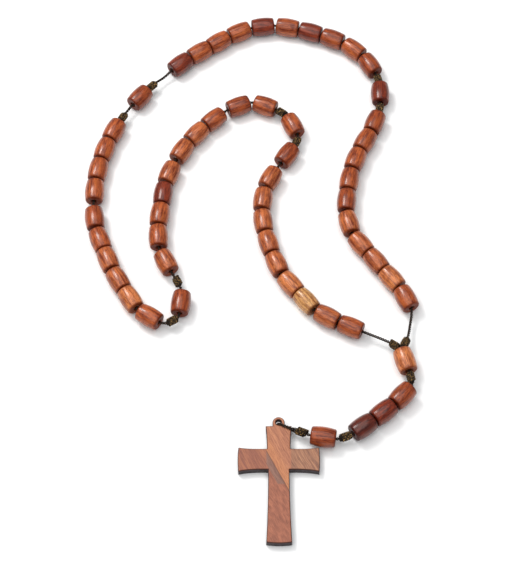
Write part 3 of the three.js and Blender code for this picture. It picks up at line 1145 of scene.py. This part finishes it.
def cross_strand_points(strung, cord, cross):
    """From the last pendant bead through its knot, over the face of the cross, down through
    the eyelet, and back below into the knot."""
    knot = cross_knot(strung)
    thick = cord.ply_radius + cord.lay_radius
    half = cord.knot_length / 2
    face = cross.thickness + cord.touch_gap + thick * 0.6
    back = cord.touch_gap / 2 + thick
    edge = 0.0060
    eyelet = strung.eyelet
    side = knot.way.cross(UP).normalized()
    away = -knot.way
    away.z = 0.0
    aside = away.cross(UP).normalized()
    return [
        knot.centre - knot.way * half * 0.8,
        knot.centre,
        knot.centre + knot.way * half + side * 0.0003,
        eyelet + away * edge + aside * 0.0003 + UP * (face + 0.0001),
        eyelet + away * edge * 0.5 + aside * 0.0002 + UP * face,
        eyelet + away * 0.0013 + aside * 0.0001 + UP * (face - 0.0001),
        eyelet + away * 0.0004 + UP * (face - 0.0007),
        eyelet + UP * cross.thickness / 2,
        eyelet + away * 0.0004 + UP * (back + 0.0005),
        eyelet + away * 0.0014 + UP * back,
        eyelet + away * edge * 0.8 - aside * 0.0008 + UP * (back + 0.0004),
        knot.centre + knot.way * half - side * 0.0005 - UP * 0.0005,
        knot.centre + knot.way * half * 0.3 - UP * 0.0002,
    ]


class ROSARY_OT_stage(Operator):
    """Set the camera, the soft studio lights and the plain floor"""

    bl_idname = "rosary.stage"
    bl_label = "Stage"

    def execute(self, context):
        stage = context.scene.rosary_stage
        context.scene.view_settings.view_transform = "Standard"
        context.scene.view_settings.look = "None"
        lens = bpy.data.cameras.new("camera")
        lens.lens = stage.focal_length
        lens.sensor_width = SENSOR_WIDTH
        lens.clip_end = 20.0
        camera = bpy.data.objects.new("camera", lens)
        context.scene.collection.objects.link(camera)
        rise = stage.camera_elevation
        back = Vector((0.0, -math.cos(rise), math.sin(rise)))
        camera.location = Vector(stage.camera_target) + back * stage.camera_distance
        camera.rotation_euler = (math.pi / 2 - rise, 0.0, 0.0)
        context.scene.camera = camera
        half = FLOOR_HALF
        corners = [(-half, -half, 0), (half, -half, 0), (half, half, 0), (-half, half, 0)]
        floor = make_object("floor", corners, [(0, 1, 2, 3)], smooth=False)
        floor.location.z = -FLOOR_DROP
        floor.data.materials.append(plain_floor(stage.floor_colour))
        self.add_light(context, "key", KEY_PLACE, stage.key_size, stage.key_power)
        self.add_light(
            context, "overhead", OVERHEAD_PLACE, stage.overhead_size, stage.overhead_power,
        )
        world = bpy.data.worlds.new("studio")
        world.use_nodes = True
        surround = world.node_tree.nodes["Background"]
        surround.inputs["Color"].default_value = SURROUND_COLOUR
        surround.inputs["Strength"].default_value = stage.sky_strength
        context.scene.world = world
        return {"FINISHED"}

    def add_light(self, context, name, place, size, power):
        lamp = bpy.data.lights.new(name, "AREA")
        lamp.shape = "SQUARE"
        lamp.size = size
        lamp.energy = power
        lamp.color = LAMP_COLOUR
        light = bpy.data.objects.new(name, lamp)
        light.location = place
        aim = Vector((0.0, 0.0, 0.0)) - light.location
        light.rotation_euler = aim.to_track_quat("-Z", "Y").to_euler()
        context.scene.collection.objects.link(light)


class ROSARY_OT_cords(Operator):
    """Twist the loop's cord, the pendant's cord and the strands that hold the cross"""

    bl_idname = "rosary.cords"
    bl_label = "Cords"

    def execute(self, context):
        beads = context.scene.rosary_beads
        cord = context.scene.rosary_cord
        strung = strung_rosary(context)
        junction = strung.pendant[0]
        first_bead = strung.pendant[3]
        last_bead = strung.pendant[8]
        everything = strung.loop + strung.pendant
        side = junction.way.cross(UP).normalized() * STRAND_ASIDE
        mouth = junction.centre - junction.way * beads.length / 2
        merge = junction.centre - junction.way * 0.001
        stem = [
            first_bead.centre - first_bead.way * 0.0004,
            first_bead.centre - first_bead.way * beads.length * STRAIGHT_END_SHARE,
            strung.hinges[0],
            *reversed(resting_points(strung.pendant[1:2], [])),
            junction.centre + junction.way * beads.length * 0.4,
        ]
        loop_line = [
            *stem, merge - side, mouth - side,
            *resting_points(strung.loop, strung.loop_corners),
            mouth + side, merge + side,
        ]
        pendant_line = [
            first_bead.centre - first_bead.way * 0.0004,
            *resting_points(strung.pendant[3:7], [])[1:],
            strung.hinges[1],
            last_bead.centre - last_bead.way * beads.length * STRAIGHT_END_SHARE,
            last_bead.centre,
        ]
        cross_line = [
            last_bead.centre,
            last_bead.centre + last_bead.way * beads.length * STRAIGHT_END_SHARE,
            strung.hinges[2],
            *cross_strand_points(strung, cord, context.scene.rosary_cross),
        ]
        lines = {
            "twine_loop": (loop_line, "loop", "pendant", Vector((0, -1, 0)), strung.hinges[0]),
            "twine_pendant": (
                pendant_line, "pendant", "last_bead_strand", Vector((-1, 0, 0)),
                strung.hinges[1],
            ),
            "twine_cross": (
                cross_line, "last_bead_strand", "cross_strand", Vector((-1, 0, 0)),
                strung.hinges[2],
            ),
        }
        reach = cord.hinge_span * BEND_SHARE
        for name, (line, holder, held, way, hinge) in lines.items():
            piece, centreline, length = lay_cord(name, line, everything, cord)
            piece.data.materials.append(cord_finish(cord))
            hinge - way * reach
            hinge + way * reach
            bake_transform(piece)
            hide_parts(*CORDS[name])
            piece["line"] = [x for point in centreline for x in point]
            piece["strung_length"] = length
        return {"FINISHED"}


class ROSARY_OT_knots(Operator):
    """Tie the wrapped knots and hang each one on its body"""

    bl_idname = "rosary.knots"
    bl_label = "Knots"

    def execute(self, context):
        cord = context.scene.rosary_cord
        strung = strung_rosary(context)
        tied = {name: [] for name in CORDS}
        for placed in strung.loop + strung.pendant:
            if placed.item.kind != "knot":
                continue
            name = placed.item.name
            if name == "cross":
                placed = cross_knot(strung)
            knot = wrapped_knot(f"knot_{name}", placed, cord, name)
            knot.data.materials.append(knot_finish(cord))
            twine, body, node = "twine_loop", "loop", "loop_cord"
            if name == "pendant":
                twine, body, node = "twine_pendant", "pendant", "pendant_cord"
            if name == "cross":
                twine, body, node = "twine_cross", "cross_strand", "cross_cord"
            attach(knot, body)
            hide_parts(node)
            tied[twine].append(knot)
        for name, knots in tied.items():
            piece = bpy.data.objects[name]
            2 * (cord.ply_radius + cord.lay_radius)
            del piece["line"]
            del piece["strung_length"]
        return {"FINISHED"}


class ROSARY_OT_decades(Operator):
    """Turn the fifty beads of the five decades"""

    bl_idname = "rosary.decades"
    bl_label = "Decade Beads"

    def execute(self, context):
        string_beads(context, lambda name: name.startswith("decade_"))
        return {"FINISHED"}


class ROSARY_OT_our_fathers(Operator):
    """Turn the four single beads between the decades"""

    bl_idname = "rosary.our_fathers"
    bl_label = "Beads Between Decades"

    def execute(self, context):
        string_beads(context, lambda name: name.startswith("our_father"))
        return {"FINISHED"}


class ROSARY_OT_pendant(Operator):
    """Turn the junction bead and the pendant's four beads"""

    bl_idname = "rosary.pendant"
    bl_label = "Pendant Beads"

    def execute(self, context):
        string_beads(context, lambda name: name.startswith(("junction", "pendant")))
        return {"FINISHED"}


def bent(start, middle, end, steps=10):
    """Points after start on the quadratic curve to end."""
    points = []
    for i in range(1, steps + 1):
        t = i / steps
        point = [
            (1 - t) ** 2 * a + 2 * t * (1 - t) * b + t * t * c
            for a, b, c in zip(start, middle, end)
        ]
        points.append(tuple(point))
    return points


def cross_outline(cross):
    """The outline of the cross and its eyelet tab, from the tab's right root clockwise."""
    arm_tip = cross.arm_span / 2
    foot = -cross.foot_drop
    shoulder = (0.0051, -0.0015)
    arm_root = (0.0046, -0.0112)
    tip_top = (arm_tip, -0.0107)
    tip_bottom = (arm_tip, -0.0209)
    post_root = (0.00415, -0.0200)
    foot_corner = (cross.foot_width / 2, foot)
    right = [(TAB_RADIUS, shoulder[1]), shoulder]
    right += bent(right[-1], (0.0046, -0.0064), arm_root)
    right += bent(arm_root, (0.0120, -0.0114), tip_top)
    right += bent(tip_top, (arm_tip + 0.0005, -0.0158), tip_bottom)
    right += bent(tip_bottom, (0.0118, -0.0199), post_root)
    right += bent(post_root, (0.00415, -0.0357), foot_corner, 16)
    bottom = bent(foot_corner, (0.0, foot - 0.0008), (-foot_corner[0], foot))
    left = [(-px, py) for px, py in reversed(right)]
    tab = []
    for i in range(1, 24):
        angle = math.pi - math.pi * i / 24
        tab.append((TAB_RADIUS * math.cos(angle), TAB_RADIUS * math.sin(angle)))
    return right + bottom[:-1] + left + [(-TAB_RADIUS, 0.0)] + tab + [(TAB_RADIUS, 0.0)]


def add_ring(curve, points):
    spline = curve.splines.new("POLY")
    spline.points.add(len(points) - 1)
    for control, (px, py) in zip(spline.points, points):
        control.co = (px, py, 0.0, 1.0)
    spline.use_cyclic_u = True


class ROSARY_OT_cross(Operator):
    """Saw the cross with its eyelet, round its edges and thin the tab from below"""

    bl_idname = "rosary.cross"
    bl_label = "Cross"

    def execute(self, context):
        cross = context.scene.rosary_cross
        eyelet = strung_rosary(context).eyelet
        curve = bpy.data.curves.new("cross_outline", "CURVE")
        curve.dimensions = "2D"
        curve.fill_mode = "BOTH"
        curve.extrude = cross.thickness / 2 - cross.edge_radius
        curve.bevel_depth = cross.edge_radius
        curve.bevel_resolution = 3
        curve.offset = -cross.edge_radius
        add_ring(curve, cross_outline(cross))
        hole = [2 * math.pi * i / 28 for i in range(28)]
        radius = cross.hole_radius
        add_ring(curve, [(radius * math.cos(a), radius * math.sin(a)) for a in hole])
        blank = bpy.data.objects.new("cross_blank", curve)
        context.scene.collection.objects.link(blank)
        context.view_layer.update()
        mesh = bpy.data.meshes.new_from_object(
            blank.evaluated_get(context.evaluated_depsgraph_get())
        )
        bpy.data.objects.remove(blank)
        mesh.transform(Matrix.Translation((0, 0, cross.thickness / 2)))
        piece = bpy.data.objects.new("wooden_cross", mesh)
        context.scene.collection.objects.link(piece)
        piece.location = eyelet + EYELET_REST
        self.trim(context, piece)
        piece.data.materials.clear()
        piece.data.materials.append(cross_wood(cross))
        for polygon in piece.data.polygons:
            polygon.use_smooth = True
        flat = piece.modifiers.new("flat_faces", "WEIGHTED_NORMAL")
        flat.keep_sharp = True
        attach(piece, "cross")
        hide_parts("cross")
        return {"FINISHED"}

    def trim(self, context, piece):
        """Welds the sawn blank and cuts the tab's underside away for the cord."""
        cutter = make_object(
            "tab_cutter",
            [
                (px, py, pz)
                for pz in (-0.001, TAB_CUT) for py in (-0.0022, 0.004) for px in (-0.003, 0.003)
            ],
            [
                (0, 2, 3, 1), (4, 5, 7, 6), (0, 1, 5, 4),
                (2, 6, 7, 3), (0, 4, 6, 2), (1, 3, 7, 5),
            ],
            smooth=False,
        )
        cutter.location = piece.location
        weld = piece.modifiers.new("weld", "WELD")
        weld.merge_threshold = 0.000002
        cut = piece.modifiers.new("cut", "BOOLEAN")
        cut.operation = "DIFFERENCE"
        cut.solver = "EXACT"
        cut.object = cutter
        context.view_layer.update()
        whole = bpy.data.meshes.new_from_object(
            piece.evaluated_get(context.evaluated_depsgraph_get())
        )
        piece.modifiers.clear()
        piece.data = whole
        bpy.data.objects.remove(cutter)


class ROSARY_PT_panel(Panel):
    """Makes and adjusts the rosary"""

    bl_idname = "ROSARY_PT_panel"
    bl_label = "Rosary"
    bl_space_type = "VIEW_3D"
    bl_region_type = "UI"
    bl_category = "Rosary"

    def draw(self, context):
        for operator in OPERATORS:
            self.layout.operator(operator.bl_idname)
        for name in SETTINGS:
            settings = getattr(context.scene, name)
            box = self.layout.box()
            for key in settings.__annotations__:
                box.prop(settings, key)


OPERATORS = (
    ROSARY_OT_stage, ROSARY_OT_cords, ROSARY_OT_knots, ROSARY_OT_decades,
    ROSARY_OT_our_fathers, ROSARY_OT_pendant, ROSARY_OT_cross,
)
SETTINGS = {
    "rosary_stage": RosaryStage,
    "rosary_beads": RosaryBeads,
    "rosary_cord": RosaryCord,
    "rosary_cross": RosaryCross,
}


def register():
    for kind in (*SETTINGS.values(), *OPERATORS, ROSARY_PT_panel):
        bpy.utils.register_class(kind)
    for name, kind in SETTINGS.items():
        setattr(bpy.types.Scene, name, PointerProperty(type=kind))


def unregister():
    for name in SETTINGS:
        delattr(bpy.types.Scene, name)
    for kind in (ROSARY_PT_panel, *reversed(OPERATORS), *reversed(SETTINGS.values())):
        bpy.utils.unregister_class(kind)


def main():
    register()
    bpy.ops.rosary.stage()
    bpy.ops.rosary.cords()
    bpy.ops.rosary.knots()
    bpy.ops.rosary.decades()
    bpy.ops.rosary.our_fathers()
    bpy.ops.rosary.pendant()
    bpy.ops.rosary.cross()


if __name__ == "__main__":
    main()
